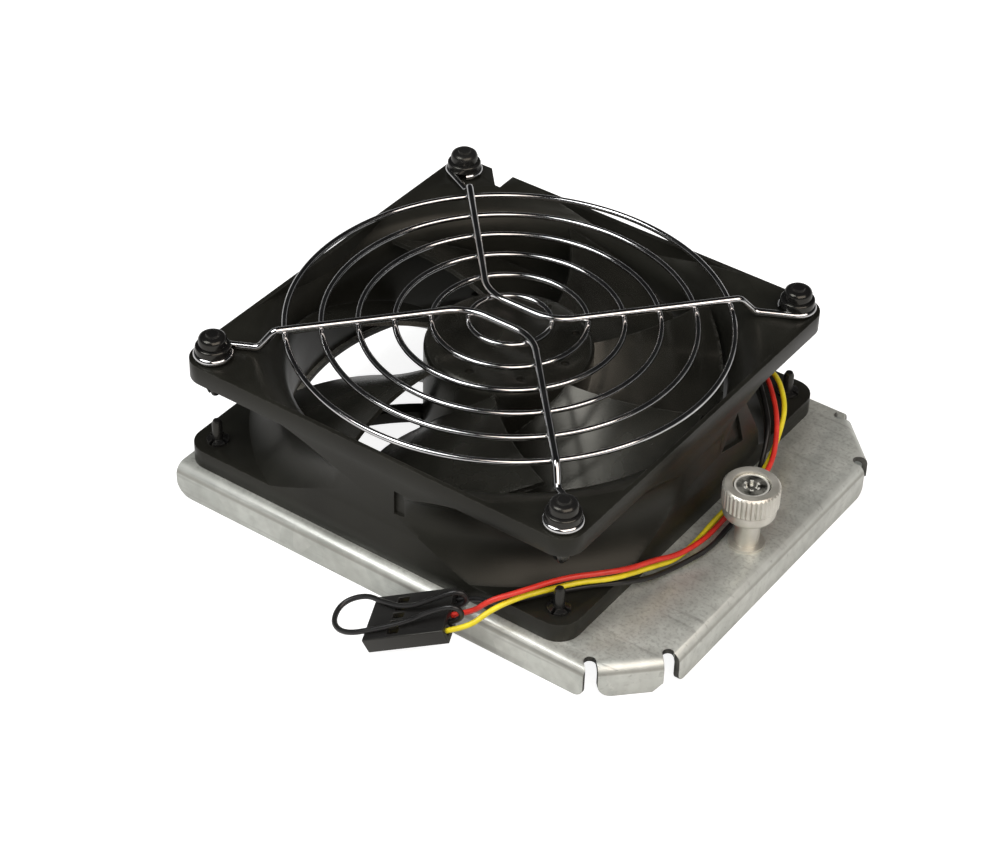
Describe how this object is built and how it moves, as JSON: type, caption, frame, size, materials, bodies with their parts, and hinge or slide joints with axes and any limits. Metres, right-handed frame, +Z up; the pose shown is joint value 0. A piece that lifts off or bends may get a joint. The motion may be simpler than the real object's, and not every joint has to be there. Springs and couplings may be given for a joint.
{
  "type": "fan with bracket",
  "caption": "Square axial cooling fan with wire finger guard, push-riveted to a folded steel bracket with a captive thumbscrew and a leaded plug",
  "frame": {"origin": "centre of the bracket's length and width, at the lower edge of its lips", "axes": "X along the bracket from its cut edge to the thumbscrew, Y across it, Z up along the fan's axis"},
  "size_m": [0.1102, 0.1118, 0.0377],
  "materials": {
    "galvanised_steel": "zinc-coated sheet, fine handling scratches",
    "black_plastic": "moulded, semi-matt",
    "black_gloss_plastic": "moulded, soft gloss",
    "black_nylon": "moulded nylon",
    "black_rubber": "soft",
    "chrome_wire": "bright plated wire",
    "nickel": "bright nickel plate",
    "plated_steel": "plated",
    "magnet": "bonded ferrite",
    "brass": "turned or stamped",
    "copper": "enamelled winding wire",
    "form_plastic": "moulded",
    "board_green": "solder mask",
    "wire_red": "vinyl insulation",
    "wire_yellow": "vinyl insulation",
    "wire_black": "vinyl insulation"
  },
  "bodies": {
    "base": {"bracket": "galvanised_steel", "fan_frame": "black_plastic", "lead_gland": "black_rubber", "bearing_tube": "brass", "bearing_outer_races": "plated_steel", "bearing_balls": "chrome_wire", "stator_core": "plated_steel", "stator_forms": "form_plastic", "stator_coils": "copper", "circuit_board": "board_green", "board_parts": "black_plastic", "guard_ring_1": "chrome_wire", "guard_ring_2": "chrome_wire", "guard_ring_3": "chrome_wire", "guard_ring_4": "chrome_wire", "guard_ring_5": "chrome_wire", "guard_ring_6": "chrome_wire", "guard_spoke_back": "chrome_wire", "guard_spoke_front": "chrome_wire", "top_rivet_bodies": "black_nylon", "top_rivet_pins": "black_nylon", "bottom_rivet_bodies": "black_nylon", "bottom_rivet_pins": "black_nylon", "knob_ferrule": "nickel", "knob_spring": "plated_steel", "lead_red": "wire_red", "lead_yellow": "wire_yellow", "lead_black": "wire_black", "loop_lead": "wire_black", "connector_housing": "black_nylon", "connector_terminals": "brass"},
    "rotor": {"impeller": "black_gloss_plastic", "rotor_cup": "plated_steel", "rotor_bush": "brass", "magnet_ring": "magnet", "shaft": "plated_steel", "retaining_clip": "plated_steel", "bearing_inner_races": "plated_steel", "preload_springs": "plated_steel"},
    "screw_carrier": {"knob_washer": "nickel"},
    "thumbscrew": {"knob": "nickel", "knob_screw": "nickel"}
  },
  "joints": [
    {"name": "rotor_spin", "type": "hinge", "parent": "base", "child": "rotor", "pos_m": [-0.00885, 0, 0.02], "axis": [0, 0, 1], "continuous": true},
    {"name": "screw_push", "type": "slide", "parent": "base", "child": "screw_carrier", "axis": [0, 0, -1], "range_m": [0, 0.0035], "stiffness_N_per_m": 150, "springref_m": -0.004, "deforming": ["knob_spring"]},
    {"name": "screw_turn", "type": "hinge", "parent": "screw_carrier", "child": "thumbscrew", "pos_m": [0.04815, 0, 0.018], "axis": [0, 0, 1], "continuous": true}
  ]
}
